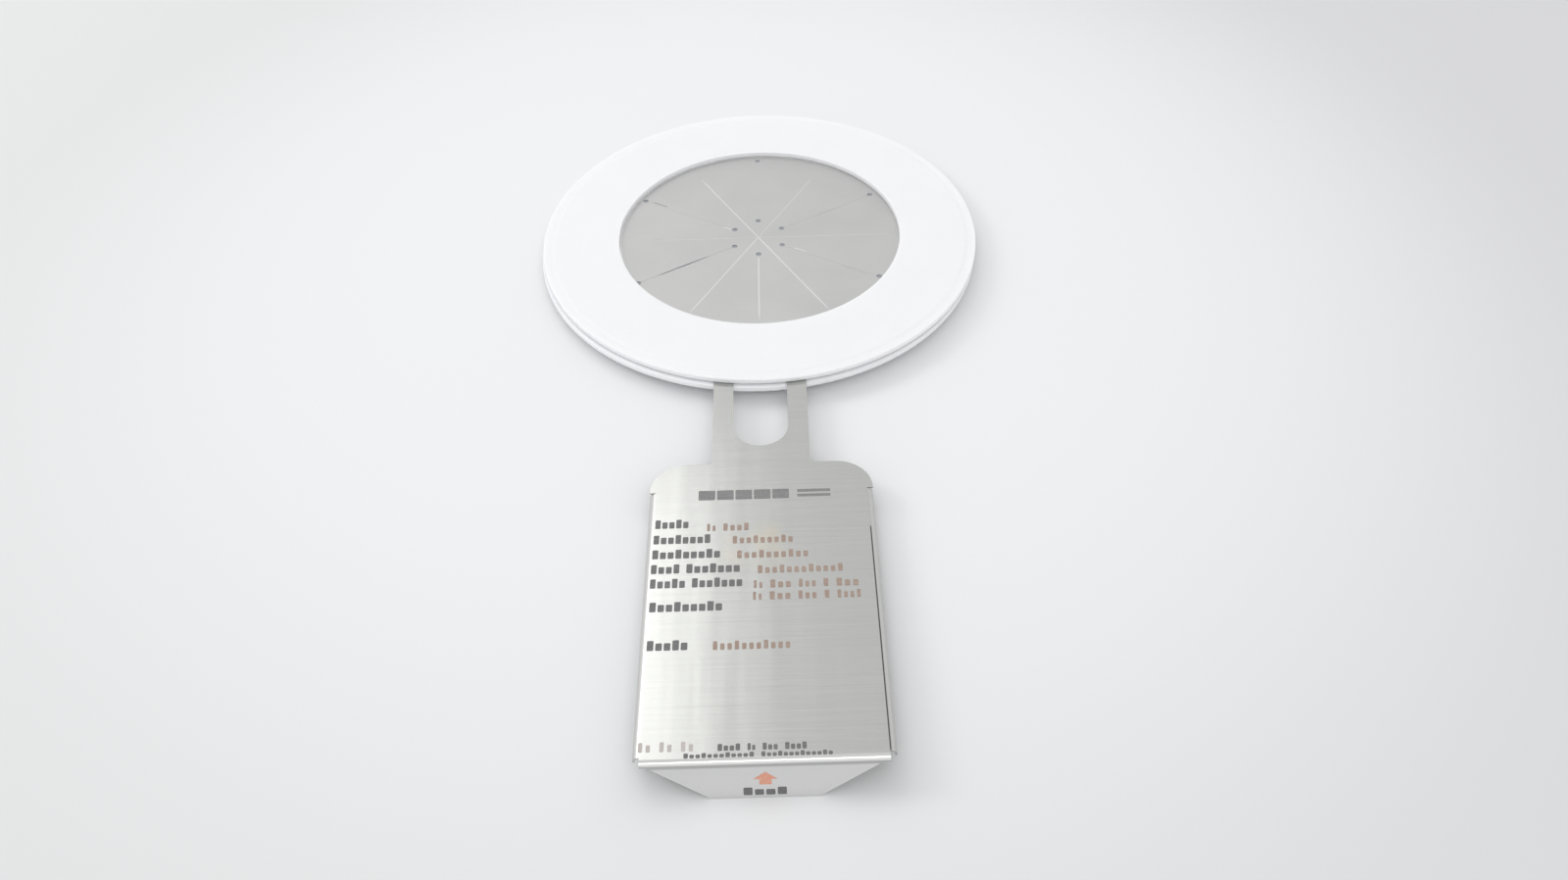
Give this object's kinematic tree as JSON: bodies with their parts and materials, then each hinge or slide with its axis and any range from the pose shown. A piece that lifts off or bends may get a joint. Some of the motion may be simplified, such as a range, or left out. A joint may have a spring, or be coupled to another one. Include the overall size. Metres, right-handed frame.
{
  "type": "rupture disc",
  "caption": "Flat composite rupture disc: slotted metal foil and film between two white gasket rings, with a sheet-metal tag on two straps.",
  "frame": {"origin": "centre of the inlet gasket's underside, on the disc's axis", "axes": "+Z is the flow direction, out of the outlet side; -Y runs from the disc to the tag; X across the tag"},
  "size_m": [0.1368, 0.2575, 0.0114],
  "materials": {
    "gasket_plastic": "smooth white fluoropolymer",
    "tag_steel": "cross-brushed stainless sheet",
    "disc_nickel": "satin rolled nickel",
    "film": "clear thin film"
  },
  "bodies": {
    "root": {"inlet_gasket": "gasket_plastic", "tag_plate": "tag_steel", "seal_film": "film", "slotted_disc": "disc_nickel", "outlet_gasket": "gasket_plastic"}
  },
  "joints": []
}
